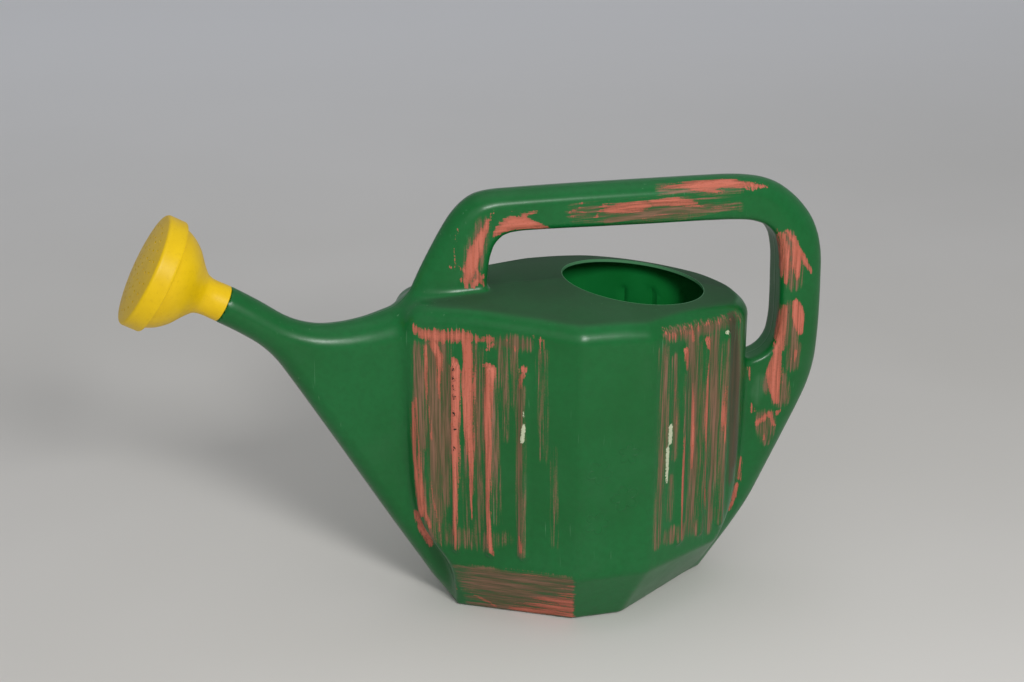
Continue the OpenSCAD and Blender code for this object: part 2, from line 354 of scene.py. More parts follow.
# --------------------------------------------------------------------------
# brushed paint on the side that faces the camera. Each stroke is a line of
# (along, up, width, load) in millimetres but the load, on one of these faces:
# left and right, the ribbed corner panels, along from the middle panel's edge;
# grip, the handle's flat side, and edge, the web and spout's side, along X.
# o paint, r ragged paint, f thin brown film, b dark film with painted shade by the right panel's rear corner, c cream
# chip, p pale streak of painted highlight on lit faces, k bare speck painted near-black as shade
# --------------------------------------------------------------------------
FACES = {
    "left": ((43, -W), (-0.8783, 0.4781)),
    "right": ((91, -W), (0.8897, 0.4566)),
    "grip": ((0, -12.5), (1, 0)),
    "edge": ((0, -15.5), (1, 0)),
}
STROKES = [
    # left panel: the brush started along the top edge
    ("r", "left", [(111, 213, 3, 0.9), (106, 209, 6, 0.95), (97, 208, 9, 0.95), (86, 209, 9.5, 0.95), (75, 210, 8, 0.95), (70, 209, 6, 0.8)]),
    ("r", "left", [(69, 208, 5, 0.8), (63, 209, 7, 0.85), (58, 210, 4, 0.7)]),
    ("o", "left", [(63, 202, 2.5, 0.8), (58, 206, 2.5, 0.8)]),
    ("f", "left", [(56, 207, 6, 0.65), (46, 208, 10, 0.8), (36, 208, 8, 0.65)]),
    ("o", "left", [(50, 211, 2, 0.6), (43, 203, 2.5, 0.6)]),
    ("o", "left", [(32, 214, 2, 0.6), (26, 211, 5, 0.6), (26, 201, 3, 0.55)]),
    ("f", "left", [(26, 203, 6, 0.55), (25, 170, 5, 0.45), (25, 130, 4, 0.3)]),
    # its front edge
    ("o", "left", [(114, 160, 2.5, 0.7), (112, 110, 3.5, 0.9), (109, 78, 5, 0.95)]),
    ("o", "edge", [(-53, 76, 5, 0.97), (-48, 59, 6.5, 1), (-44, 48, 4, 0.95)]),
    ("o", "left", [(111, 163, 2, 0.6), (110, 130, 3, 0.75), (107, 85, 3, 0.75), (103, 70, 3.5, 0.8)]),
    ("f", "left", [(112, 160, 4, 0.65), (110, 125, 6, 0.75), (107, 90, 6, 0.65), (102, 60, 6, 0.5)]),
    ("o", "left", [(103.5, 200, 3, 0.8), (103, 165, 2.5, 0.7), (101, 135, 2, 0.6)]),
    ("f", "left", [(109, 199, 7, 0.6), (109, 175, 7, 0.7), (108, 130, 7, 0.7)]),
    ("f", "left", [(99, 202, 9, 0.7), (98, 130, 13, 0.85), (96, 85, 9, 0.55), (94, 60, 6, 0.35)]),
    ("f", "left", [(91, 202, 8, 0.75), (91, 130, 8, 0.8), (91, 90, 6, 0.6)]),
    ("o", "left", [(98, 202, 6, 0.95), (94.5, 195, 5.5, 0.9), (94, 165, 2.5, 0.6)]),
    ("o", "left", [(102, 105, 2, 0.55), (97, 75, 2, 0.6), (94, 52, 1.5, 0.5)]),
    # the ribs and the flats between them
    ("o", "left", [(84, 193, 4.5, 0.9), (83, 185, 7, 1), (84, 145, 5.5, 1), (84, 110, 4, 0.9), (85, 70, 3, 0.9), (84, 55, 2, 0.7)]),
    ("o", "left", [(76, 207, 6.5, 0.95), (75, 195, 7, 1), (75, 145, 6, 1), (73, 118, 4, 0.9), (73, 80, 2.5, 0.7)]),
    ("f", "left", [(77, 130, 6, 0.4), (77, 90, 5, 0.3), (78, 60, 4, 0.2)]),
    ("f", "left", [(71, 204, 5, 0.75), (69, 150, 7, 0.75), (68, 105, 6, 0.6), (69, 70, 5, 0.5)]),
    ("o", "left", [(71, 204, 2.5, 0.7), (70, 180, 2, 0.6), (69, 130, 2, 0.55)]),
    ("o", "left", [(63, 191, 5, 0.85), (60, 189, 7, 0.95), (61, 175, 5, 1), (62, 140, 4, 1), (62, 90, 3.5, 0.95), (60, 60, 3, 0.9), (58, 54, 2, 0.8)]),
    ("f", "left", [(66, 202, 4, 0.6), (65, 150, 4, 0.55)]),
    ("f", "left", [(58, 182, 4, 0.45), (57, 120, 5, 0.55), (56, 80, 5, 0.4)]),
    ("f", "left", [(52, 203, 4.5, 0.8), (51, 170, 3.5, 0.7), (50, 140, 2, 0.45)]),
    ("o", "left", [(51, 201, 2, 0.6), (51, 180, 2, 0.5)]),
    ("f", "left", [(45, 203, 5, 0.75), (44, 187, 4, 0.6), (44, 165, 3, 0.45)]),
    ("o", "left", [(40, 191, 3, 0.8), (37, 192, 3, 0.8), (39, 187, 3.5, 0.85), (40, 178, 3, 0.7)]),
    ("f", "left", [(40, 178, 4.5, 0.85), (40, 120, 4, 0.8), (39, 58, 3, 0.6)]),
    ("o", "left", [(40, 70, 2.5, 0.7), (39, 60, 3, 0.75)]),
    ("c", "left", [(37.5, 162, 1.5, 0.7), (37.5, 159, 1.5, 0.7)]),
    ("c", "left", [(37.5, 152, 2.3, 1), (38.5, 141, 2.3, 1)]),
    # pale streak: painted highlight on the lit side of the rib
    ("p", "left", [(36.5, 117, 2, 0.6), (36.5, 100, 2, 0.6)]),
    ("f", "left", [(19, 137, 4, 0.35), (17, 100, 4, 0.4), (16, 67, 4, 0.3)]),
    ("f", "left", [(102, 78, 12, 0.4), (89, 66, 14, 0.42), (68, 63, 14, 0.36), (50, 68, 10, 0.22)]),
    # right panel
    ("r", "right", [(11, 213, 2.5, 0.6), (14, 206, 2.5, 0.6)]),
    ("r", "right", [(13, 209, 3, 0.65), (28, 207, 3.5, 0.65), (45, 207, 2.5, 0.55)]),
    ("r", "right", [(28, 211, 2.5, 0.65), (41, 209, 2.5, 0.7), (64, 207, 2.5, 0.6), (73, 206, 2, 0.5)]),
    ("f", "right", [(12, 210, 7, 0.65), (33, 207, 9, 0.75), (57, 205, 8, 0.75), (81, 204, 7, 0.65)]),
    ("o", "right", [(36, 207, 3.5, 0.65), (37, 200, 3.5, 0.65)]),
    ("o", "right", [(46, 208, 2.5, 0.65), (45, 200, 2, 0.6)]),
    ("o", "right", [(29, 195, 5, 0.95), (29.5, 185, 3.5, 0.85), (30, 178, 2, 0.6)]),
    ("f", "right", [(30, 178, 4, 0.6), (30, 160, 3, 0.5), (30, 138, 3, 0.55)]),
    ("o", "right", [(30, 135, 2, 0.7), (30, 110, 3, 0.9), (30.5, 78, 3, 0.9), (31, 57, 2.5, 0.8)]),
    ("f", "right", [(20, 192, 4, 0.7), (22, 150, 4, 0.75), (22, 120, 3, 0.55)]),
    ("o", "right", [(21, 174, 2, 0.55), (23, 144, 2, 0.55)]),
    ("f", "right", [(36, 202, 9, 0.75), (40, 150, 9, 0.85), (43, 95, 8, 0.75), (40, 60, 7, 0.6)]),
    ("o", "right", [(38, 169, 2.5, 0.6), (40, 130, 4, 0.7), (40, 107, 2.5, 0.6)]),
    ("o", "right", [(50, 197, 5.5, 0.85), (50.5, 192, 3.5, 0.75)]),
    ("o", "right", [(52, 192, 2, 0.75), (51, 165, 2.5, 0.8), (51, 140, 4, 0.9), (53, 112, 3, 0.9), (54, 82, 3, 0.8), (56, 70, 2, 0.65)]),
    ("f", "right", [(44, 196, 4, 0.6), (47, 150, 4.5, 0.7), (49, 64, 4.5, 0.5)]),
    ("f", "right", [(58, 197, 7, 0.8), (61, 150, 8, 0.85), (61, 90, 7, 0.7), (60, 54, 6, 0.5)]),
    ("o", "right", [(70, 159, 2, 0.75), (69, 135, 3, 0.85), (71, 118, 2.5, 0.75)]),
    ("o", "right", [(74, 149, 2, 0.7), (75, 128, 2, 0.7)]),
    ("o", "right", [(73, 115, 2, 0.6), (72, 94, 2, 0.55)]),
    ("f", "right", [(69, 190, 5, 0.6), (70, 118, 5, 0.7), (70, 58, 5, 0.5)]),
    # dark band along the right panel's rear corner: brown film with painted shade where the panel turns away
    ("b", "right", [(75, 205, 9.5, 0.8), (80, 150, 11.5, 0.9), (83, 107, 11, 0.85), (81, 86, 8.5, 0.6)]),
    ("f", "right", [(79, 197, 8, 0.5), (82, 144, 8, 0.55), (84, 97, 7, 0.45)]),
    ("c", "right", [(18, 145, 3, 1), (18, 133, 3, 1)]),
    ("c", "right", [(16, 129, 2.7, 1), (16, 109, 2.5, 0.95), (16, 104, 1.7, 0.85)]),
    ("c", "right", [(69, 198, 3, 0.8), (70, 197, 3, 0.8)]),
    ("f", "right", [(9, 201, 7, 0.5), (11, 150, 8, 0.6), (9, 60, 7, 0.45)]),
    ("f", "right", [(10, 115, 4, 0.75), (10, 71, 3.5, 0.65)]),
    ("o", "right", [(11, 109, 2, 0.5), (11, 89, 2, 0.55)]),
    ("f", "right", [(20, 106, 4, 0.6), (20, 76, 4, 0.5)]),
    ("f", "right", [(20, 63, 12, 0.4), (52, 60, 13, 0.45), (72, 66, 10, 0.4)]),
    ("o", "edge", [(181, 88, 2.5, 0.9), (181, 70, 3, 0.95)]),
    ("o", "edge", [(179, 66, 4.5, 1), (177, 54, 4, 1), (175, 47, 2.5, 0.85)]),
    # front leg of the handle
    ("o", "grip", [(1, 283, 2, 0.75), (-5, 270, 5, 0.95), (-11, 257, 8.5, 1), (-13, 249, 8.5, 1), (-15, 242, 5.5, 0.95), (-17, 233, 2, 0.7)]),
    ("f", "grip", [(-5, 275, 8, 0.6), (-10, 258, 12, 0.6), (-14, 241, 9, 0.5)]),
    ("o", "grip", [(-14, 232, 2, 0.8), (-10, 236, 4, 0.9), (-4, 240, 2, 0.75)]),
    ("o", "grip", [(-9, 243, 2, 0.8), (-7, 236, 2.5, 0.85), (-5, 233, 2, 0.7)]),
    ("o", "grip", [(-21, 272, 1.5, 0.6), (-25, 258, 1.5, 0.6), (-23, 248, 1.5, 0.6), (-19, 245, 2, 0.65)]),
    ("o", "grip", [(-27, 247, 2, 0.6), (-19, 245, 2, 0.65)]),
    ("o", "grip", [(-26, 238, 2, 0.6), (-17, 238, 2.5, 0.7)]),
    ("o", "grip", [(0, 265, 2, 0.75), (5, 270, 6, 0.95), (14, 274, 8, 1), (24, 273, 7, 1), (34, 270, 3.5, 0.9), (38, 269, 2, 0.7)]),
    ("o", "grip", [(9, 275, 2, 0.8), (15, 278, 2, 0.85), (30, 282, 1.5, 0.7)]),
    ("o", "grip", [(18, 275, 2, 0.85), (24, 279, 2, 0.85), (30, 281, 1.5, 0.75)]),
    ("o", "grip", [(5, 274, 2, 0.75), (11, 280, 1.5, 0.7), (17, 283, 1.5, 0.6)]),
    # along the top of the handle
    ("o", "grip", [(52, 278, 2.5, 0.7), (61, 283, 3.5, 0.7)]),
    ("o", "grip", [(53, 275, 2, 0.6), (65, 279, 2.5, 0.6)]),
    ("o", "grip", [(70, 273, 3, 0.8), (76, 282, 3.5, 0.75), (81, 285, 2, 0.6)]),
    ("o", "grip", [(77, 278, 4.5, 0.9), (88, 279, 7, 1), (101, 279, 7.5, 1), (106, 279, 6, 0.9)]),
    ("o", "grip", [(109, 281, 4, 0.85), (125, 280, 6, 0.95), (134, 279, 5.5, 0.9), (141, 278, 3.5, 0.75)]),
    ("o", "grip", [(140, 280, 2, 0.65), (151, 278, 2, 0.65), (169, 273, 1.5, 0.5)]),
    ("o", "grip", [(136, 277, 2, 0.6), (158, 273, 2, 0.5)]),
    ("f", "grip", [(56, 278, 10.5, 0.5), (101, 276, 13, 0.65), (129, 277, 12, 0.65), (153, 275, 9.5, 0.5), (170, 273, 7, 0.35)]),
    ("f", "grip", [(79, 272, 4.5, 0.8), (129, 272, 5.5, 0.85), (146, 272, 4.5, 0.6)]),
    ("o", "grip", [(101, 270, 2, 0.6), (136, 272, 2.5, 0.55)]),
    ("o", "grip", [(46, 272, 2, 0.5), (60, 273, 2, 0.45)]),
    ("o", "grip", [(115, 290, 1.5, 0.7), (133, 290, 3, 0.95), (148, 290, 5.5, 1), (163, 289, 5, 1), (180, 287, 3, 0.95), (191, 285, 2, 0.75)]),
    ("o", "grip", [(136, 288, 2, 0.8), (148, 286, 3, 0.9), (159, 285, 2, 0.7)]),
    ("o", "grip", [(176, 285, 2, 0.75), (183, 285, 2, 0.7)]),
    ("f", "grip", [(115, 289, 4, 0.5), (142, 286, 5.5, 0.5), (171, 286, 4.5, 0.45)]),
    # rear leg of the handle
    ("o", "grip", [(199, 256, 2, 0.6), (203, 250, 5, 0.7), (206, 238, 6.5, 0.8), (207, 229, 7, 0.8), (208, 217, 4, 0.7)]),
    ("o", "grip", [(206, 254, 2, 0.8), (217, 238, 3.5, 0.95), (223, 228, 3.5, 0.9), (228, 221, 2.5, 0.8)]),
    ("o", "grip", [(212, 248, 3.5, 0.9), (214, 238, 6, 0.95), (215, 229, 7, 0.95), (216, 220, 4, 0.85)]),
    ("f", "grip", [(206, 247, 12, 0.65), (211, 231, 16, 0.7), (214, 216, 11, 0.5)]),
    ("o", "grip", [(208, 199, 4, 0.8), (207, 185, 6, 0.9), (206, 167, 6.5, 0.9)]),
    ("o", "grip", [(216, 200, 7, 0.95), (218, 193, 10, 1), (220, 186, 8.5, 1), (221, 179, 5, 0.95)]),
    ("f", "grip", [(212, 194, 16, 0.65), (212, 175, 14, 0.6)]),
    # bare speck, painted near-black as shade
    ("k", "grip", [(211, 195, 1.5, 0.5), (212, 193, 1.5, 0.5)]),
    ("o", "grip", [(205, 169, 6.5, 0.95), (204, 160, 9, 1), (203, 151, 12, 1), (204, 138, 9, 1), (206, 128, 4.5, 0.9)]),
    ("f", "grip", [(217, 166, 10, 0.85), (217, 155, 9, 0.8)]),
    ("o", "grip", [(218, 164, 4, 0.6), (217, 158, 4, 0.6)]),
    ("f", "grip", [(204, 143, 18, 0.6), (210, 130, 13, 0.55)]),
    # pale patch: painted highlight on the web's lit side below the gap
    ("p", "grip", [(193, 146, 10, 0.5), (191, 137, 11, 0.5), (191, 129, 7, 0.4)]),
    ("o", "grip", [(183, 156, 2.5, 0.7), (185, 146, 2, 0.6)]),
    ("o", "grip", [(188, 127, 3.5, 0.65), (189, 123, 4.5, 0.7)]),
    ("o", "grip", [(192, 113, 3.5, 0.9), (197, 116, 4.5, 1), (201, 120, 3.5, 0.95)]),
    ("o", "grip", [(202, 118, 2.5, 0.9), (205, 110, 2.5, 0.9)]),
    ("o", "grip", [(207, 119, 4.5, 0.7), (209, 120, 3.5, 0.65)]),
    ("o", "grip", [(199, 104, 2, 0.7), (198, 99, 2, 0.7)]),
    ("f", "grip", [(198, 115, 14, 0.6), (201, 100, 10, 0.5)]),
]
# bare specks down the front rib of the left panel, on its shaded side, painted near-black: painted shade on bare
# plastic between the paint
STROKES += [("k", "left", [(84.5, z, 1.4, 0.8), (84.2, z - 2, 1.3, 0.8)]) for z in (188, 182, 175, 169, 157, 146, 132)]


def on_face(face, line):
    """A stroke's points in space, and the face's normal."""
    if face is None:
        return np.array(line, float), np.zeros(3)
    (ox, oy), (dx, dy) = FACES[face]
    return np.array([(ox + s * dx, oy + s * dy, z, w, load) for s, z, w, load in line], float), np.array([dy, -dx, 0.0])


def foot(u, z, w, load):
    """A stroke's point on the foot band's left panel: u from its front edge to its rear edge."""
    h = z / 43.0
    a, b = (-27 - 15 * h, -16.5 - 12.5 * h), (50 - 7 * h, -55 - 22 * h)
    return (a[0] + (b[0] - a[0]) * u, a[1] + (b[1] - a[1]) * u, z, w, load)


STROKES += [("f", None, [foot(0.14, z, 7, 0.5), foot(0.32, z, 8, 0.8), foot(1.06, z, 8, 0.85)]) for z in (4, 10, 16, 22, 28, 34, 40)]
STROKES += [("r", None, [foot(0.46, 4, 5, 0.62), foot(0.62, 4.5, 7, 0.9), foot(1.08, 5, 9, 1)]),
            ("r", None, [foot(0.50, 9, 4, 0.6), foot(0.68, 11, 7, 0.9), foot(1.08, 11, 9, 1)]),
            ("r", None, [foot(0.60, 16, 3, 0.6), foot(0.76, 18, 7, 0.85), foot(1.08, 18, 9, 1)]),
            ("r", None, [foot(0.74, 24, 3, 0.6), foot(0.88, 25, 6, 0.85), foot(1.08, 26, 8, 1)]),
            ("r", None, [foot(0.86, 33, 2, 0.5), foot(0.95, 36, 5, 0.7), foot(1.08, 37, 7, 0.85)]),
            ("o", None, [foot(0.13, 17, 2.0, 0.6), foot(0.24, 10, 3.2, 0.8), foot(0.33, 4, 2.8, 0.8)]),
            ("o", None, [foot(0.34, 41.5, 1.6, 0.5), foot(0.62, 42, 2.2, 0.62), foot(0.9, 42, 2.2, 0.62)]),
            ("o", None, [foot(0.02, 34, 2.4, 0.52), foot(0.04, 26, 3.0, 0.6), foot(0.05, 16, 3.0, 0.56)])]


def stroke_field(kinds, pts, soft=2.2):
    v = np.zeros(len(pts))
    for kind, face, line in STROKES:
        if kind not in kinds:
            continue
        a, nrm = on_face(face, line)
        wmax = a[:, 3].max() / 2 + soft + 4
        lo, hi = a[:, :3].min(0) - wmax, a[:, :3].max(0) + wmax
        k = np.where(np.all((pts > lo) & (pts < hi), axis=1))[0]
        if not len(k):
            continue
        p = pts[k]
        # measured along the face, so that a stroke rides over a rib
        off = (p - a[0, :3]) @ nrm
        p = p - off[:, None] * nrm
        best = np.zeros(len(k))
        for i in range(len(a) - 1):
            d = a[i + 1, :3] - a[i, :3]
            t = np.clip(((p - a[i, :3]) @ d) / max(d @ d, 1e-9), 0, 1)
            dist = np.linalg.norm(p - a[i, :3] - t[:, None] * d, axis=1)
            w = a[i, 3] * (1 - t) + a[i + 1, 3] * t
            load = a[i, 4] * (1 - t) + a[i + 1, 4] * t
            best = np.maximum(best, load * np.clip(0.5 + (w / 2 - dist) / soft, 0, 1))
        v[k] = np.maximum(v[k], best * step(8.0, 5.0, np.abs(off)))
    return v


# --------------------------------------------------------------------------
# meshes
# --------------------------------------------------------------------------
def link(name, me):
    o = bpy.data.objects.new(name, me)
    bpy.context.scene.collection.objects.link(o)
    return o


def axis_point(s, r, th):
    """A point at distance s along the spout's outer axis, radius r, angle th (0 is up)."""
    p = SPOUT_END + s * E_OUT
    return (p[0] + r * math.cos(th) * E_UP[0], r * math.sin(th), p[1] + r * math.cos(th) * E_UP[1])


def lathe(name, profile, n=128):
    """A closed solid turned about the spout's axis; the profile is (s, r) and may start and end on the axis."""
    v, f = [], []
    rows = []
    for s, r in profile:
        if r < 1e-6:
            rows.append([len(v)])
            v.append(axis_point(s, 0, 0))
        else:
            rows.append(list(range(len(v), len(v) + n)))
            v += [axis_point(s, r, 2 * math.pi * i / n) for i in range(n)]
    m = len(rows)
    closed = len(rows[0]) > 1 and len(rows[-1]) > 1
    for j in range(m if closed else m - 1):
        a, b = rows[j], rows[(j + 1) % m]
        for i in range(n):
            k = (i + 1) % n
            if len(a) == 1 and len(b) == 1:
                continue
            if len(a) == 1:
                f.append((a[0], b[k], b[i]))
            elif len(b) == 1:
                f.append((a[i], a[k], b[0]))
            else:
                f.append((a[i], a[k], b[k], b[i]))
    me = mesh_from(name, np.array(v), f)
    bm = bmesh.new()
    bm.from_mesh(me)
    bmesh.ops.recalc_face_normals(bm, faces=bm.faces)
    bm.to_mesh(me)
    bm.free()
    return link(name, me)


def cylinder(name, c, axis, r, a, b, n=96):
    """A closed cylinder along a unit axis from c, between distances a and b, in millimetres."""
    ax = np.array(axis, float)
    u = np.cross(ax, [0, 1, 0] if abs(ax[1]) < 0.9 else [1, 0, 0])
    u /= np.linalg.norm(u)
    w = np.cross(ax, u)
    c = np.array(c, float)
    v = [c + t * ax + r * (math.cos(2 * math.pi * i / n) * u + math.sin(2 * math.pi * i / n) * w) for t in (a, b) for i in range(n)]
    f = [tuple(range(n))[::-1], tuple(range(n, 2 * n))] + [(i, (i + 1) % n, n + (i + 1) % n, n + i) for i in range(n)]
    me = mesh_from(name, np.array(v), f)
    bm = bmesh.new()
    bm.from_mesh(me)
    bmesh.ops.recalc_face_normals(bm, faces=bm.faces)
    bm.to_mesh(me)
    bm.free()
    return link(name, me)


def cut(o, tool, op="DIFFERENCE"):
    m = o.modifiers.new("b", "BOOLEAN")
    m.operation = op
    m.object = tool
    m.solver = "MANIFOLD"
    dg = bpy.context.evaluated_depsgraph_get()
    me = bpy.data.meshes.new_from_object(o.evaluated_get(dg))
    o.modifiers.clear()
    old = o.data
    o.data = me
    bpy.data.meshes.remove(old)
    t = tool.data
    bpy.data.objects.remove(tool)
    bpy.data.meshes.remove(t)


def signed_volume(me):
    me.calc_loop_triangles()
    n = len(me.loop_triangles)
    t = np.empty(n * 3, np.int32)
    me.loop_triangles.foreach_get("vertices", t)
    v = np.empty(len(me.vertices) * 3)
    me.vertices.foreach_get("co", v)
    v = v.reshape(-1, 3)
    a, b, c = (v[t.reshape(-1, 3)[:, i]] for i in range(3))
    return float((a * np.cross(b, c)).sum() / 6)


def smooth(me, angle=35):
    me.shade_smooth()
    me.set_sharp_from_angle(angle=math.radians(angle))


def build_can():
    fine = 2.05
    p, t, q = extract(fine, 0.0)
    pi, ti, qi = extract(3.0, -2.0)
    note("fields", len(q), len(qi))
    outer = mesh_from("can_outer", p, q, t)
    if signed_volume(outer) < 0:
        outer.flip_normals()
    inner = mesh_from("can_inner", pi, qi, ti)
    io = link("inner", inner)
    d = io.modifiers.new("d", "DECIMATE")
    d.ratio = 0.5
    dg = bpy.context.evaluated_depsgraph_get()
    inner2 = bpy.data.meshes.new_from_object(io.evaluated_get(dg))
    bpy.data.objects.remove(io)
    if signed_volume(inner2) > 0:
        inner2.flip_normals()
    bm = bmesh.new()
    bm.from_mesh(outer)
    bm.from_mesh(inner2)
    me = bpy.data.meshes.new("can_body")
    bm.to_mesh(me)
    bm.free()
    o = link("can_body", me)
    c = (SPOUT_END[0], 0, SPOUT_END[1])
    ax = (E_OUT[0], 0, E_OUT[1])
    cut(o, lathe("spigot", [(-4, 0), (-4, 10.3), (19.2, 10.3), (20, 9.5), (20, 0)], 96), "UNION")
    cut(o, cylinder("bore", c, ax, 8.3, -9, 24))
    cut(o, cylinder("fill", (101.4, 0, 229), (0, 0, 1), 48, -34, 20, 160))
    note("can", len(o.data.vertices), len(o.data.polygons))
    return o


def attribute(me, name, values):
    a = me.attributes.new(name, "FLOAT", "POINT")
    a.data.foreach_set("value", np.asarray(values, np.float32))


def paint_can(o):
    me = o.data
    v = np.empty(len(me.vertices) * 3)
    me.vertices.foreach_get("co", v)
    v = v.reshape(-1, 3) * 1000
    f = field_at(v)
    out = step(-1.3, -0.7, f)
    # brushed blocks on the foot band stop at the panel's rear edge
    band = np.where(v[:, 2] < 44.5, step(47.6, 46.4, v[:, 0] + v[:, 2] * 0.16), 1)
    attribute(me, "paint", np.maximum(stroke_field("o", v, 2.4), stroke_field("r", v, 6.5)) * out * band)
    attribute(me, "film", stroke_field("f", v, 5.5) * out * band)
    attribute(me, "dark", stroke_field("b", v, 6.0) * out)
    attribute(me, "chip", stroke_field("c", v, 2.4) * out)
    attribute(me, "pale", stroke_field("p", v, 5.0) * out)
    attribute(me, "speck", stroke_field("k", v, 1.6) * out)
    inner = step(-1.5, -1.85, f)
    attribute(me, "inside", inner)
    hz = step(262, 270, v[:, 2]) * step(-12, 10, v[:, 0]) * step(185, 165, v[:, 0])
    hz = np.maximum(hz, step(46, 43, v[:, 2]))
    attribute(me, "level", hz)


# --------------------------------------------------------------------------
# materials
# --------------------------------------------------------------------------
def srgb(r, g, b):
    f = lambda c: (c / 255) / 12.92 if c / 255 <= 0.04045 else ((c / 255 + 0.055) / 1.055) ** 2.4
    return (f(r), f(g), f(b), 1.0)


class Nodes:
    """Short calls for a node tree."""

    def __init__(self, mat):
        mat.use_nodes = True
        self.t = mat.node_tree
        self.t.nodes.clear()
        self.co = self.t.nodes.new("ShaderNodeTexCoord").outputs["Object"]

    def new(self, kind, **k):
        n = self.t.nodes.new(kind)
        for a, b in k.items():
            setattr(n, a, b)
        return n

    def put(self, n, key, v):
        if hasattr(v, "links"):
            self.t.links.new(v, n.inputs[key])
        else:
            n.inputs[key].default_value = v

    def m(self, op, a, b=0.0, c=None, clamp=False):
        n = self.new("ShaderNodeMath", operation=op, use_clamp=clamp)
        self.put(n, 0, a)
        self.put(n, 1, b)
        if c is not None:
            self.put(n, 2, c)
        return n.outputs[0]

    def attr(self, name):
        return self.new("ShaderNodeAttribute", attribute_name=name).outputs["Fac"]

    def noise(self, scale, detail=3.0, rough=0.55, stretch=(1, 1, 1), shift=(0, 0, 0), dist=0.0):
        mp = self.new("ShaderNodeMapping")
        self.put(mp, "Vector", self.co)
        mp.inputs["Scale"].default_value = [scale * s for s in stretch]
        mp.inputs["Location"].default_value = shift
        n = self.new("ShaderNodeTexNoise")
        self.put(n, "Vector", mp.outputs[0])
        n.inputs["Scale"].default_value = 1.0
        n.inputs["Detail"].default_value = detail
        n.inputs["Roughness"].default_value = rough
        n.inputs["Distortion"].default_value = dist
        return n.outputs["Fac"]

    def band(self, v, a, b):
        n = self.new("ShaderNodeMapRange", interpolation_type="SMOOTHSTEP")
        self.put(n, "Value", v)
        n.inputs["From Min"].default_value = a
        n.inputs["From Max"].default_value = b
        return n.outputs[0]

    def mix(self, f, a, b):
        n = self.new("ShaderNodeMix", data_type="RGBA")
        self.put(n, 0, f)
        self.put(n, 6, a)
        self.put(n, 7, b)
        return n.outputs[2]

    def mixf(self, f, a, b):
        n = self.new("ShaderNodeMix", data_type="FLOAT")
        self.put(n, 0, f)
        self.put(n, 2, a)
        self.put(n, 3, b)
        return n.outputs[0]

    def finish(self, color, rough, height=None, dist=0.0002, strength=0.6, **k):
        b = self.new("ShaderNodeBsdfPrincipled")
        self.put(b, "Base Color", color)
        self.put(b, "Roughness", rough)
        for a, v in k.items():
            b.inputs[a.replace("_", " ")].default_value = v
        if height is not None:
            bp = self.new("ShaderNodeBump")
            bp.inputs["Distance"].default_value = dist
            bp.inputs["Strength"].default_value = strength
            self.put(bp, "Height", height)
            self.put(b, "Normal", bp.outputs[0])
        o = self.new("ShaderNodeOutputMaterial")
        self.t.links.new(b.outputs[0], o.inputs[0])
        return b


